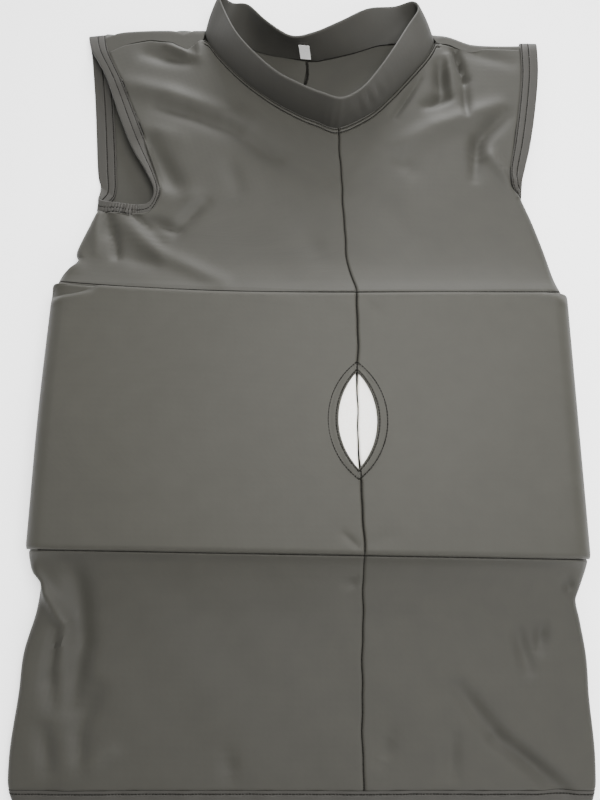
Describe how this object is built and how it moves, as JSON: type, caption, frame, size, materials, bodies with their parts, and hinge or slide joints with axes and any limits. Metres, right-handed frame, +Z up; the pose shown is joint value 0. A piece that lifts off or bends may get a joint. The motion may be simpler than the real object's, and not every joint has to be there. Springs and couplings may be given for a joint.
{
  "type": "rib protector",
  "caption": "Sleeveless stretch shirt with a stand collar and a foam-padded band round the ribs, lying flat, with a lens-shaped opening at the centre front.",
  "frame": {"origin": "middle of the shirt's outline as it lies, on the surface under it", "axes": "+X across the shirt, to the right of someone who looks down on it; +Y along the shirt towards the collar; +Z up from the surface"},
  "size_m": [0.4694, 0.7236, 0.0484],
  "materials": {
    "collar_knit": "smooth doubled stretch knit, dark warm grey",
    "chest_knit": "smooth matt stretch knit, warm grey",
    "band_knit": "smooth matt stretch knit over foam, warm grey",
    "waist_knit": "smooth matt stretch knit, warm grey",
    "hem_knit": "doubled stretch knit with coverstitched edge",
    "pad_foam": "white closed-cell foam",
    "label_satin": "white satin tape, blank"
  },
  "bodies": {
    "root": {"collar": "collar_knit", "neck_label": "label_satin", "bottom_hem": "hem_knit", "front_upper_left": "chest_knit", "back_upper_left": "chest_knit", "armhole_hem_left": "hem_knit", "rib_pocket_left": "band_knit", "rib_pad_left": "pad_foam", "opening_hem_left": "hem_knit", "front_lower_left": "waist_knit", "back_lower_left": "waist_knit", "front_upper_right": "chest_knit", "back_upper_right": "chest_knit", "armhole_hem_right": "hem_knit", "rib_pocket_right": "band_knit", "rib_pad_right": "pad_foam", "opening_hem_right": "hem_knit", "front_lower_right": "waist_knit", "back_lower_right": "waist_knit"}
  },
  "joints": []
}
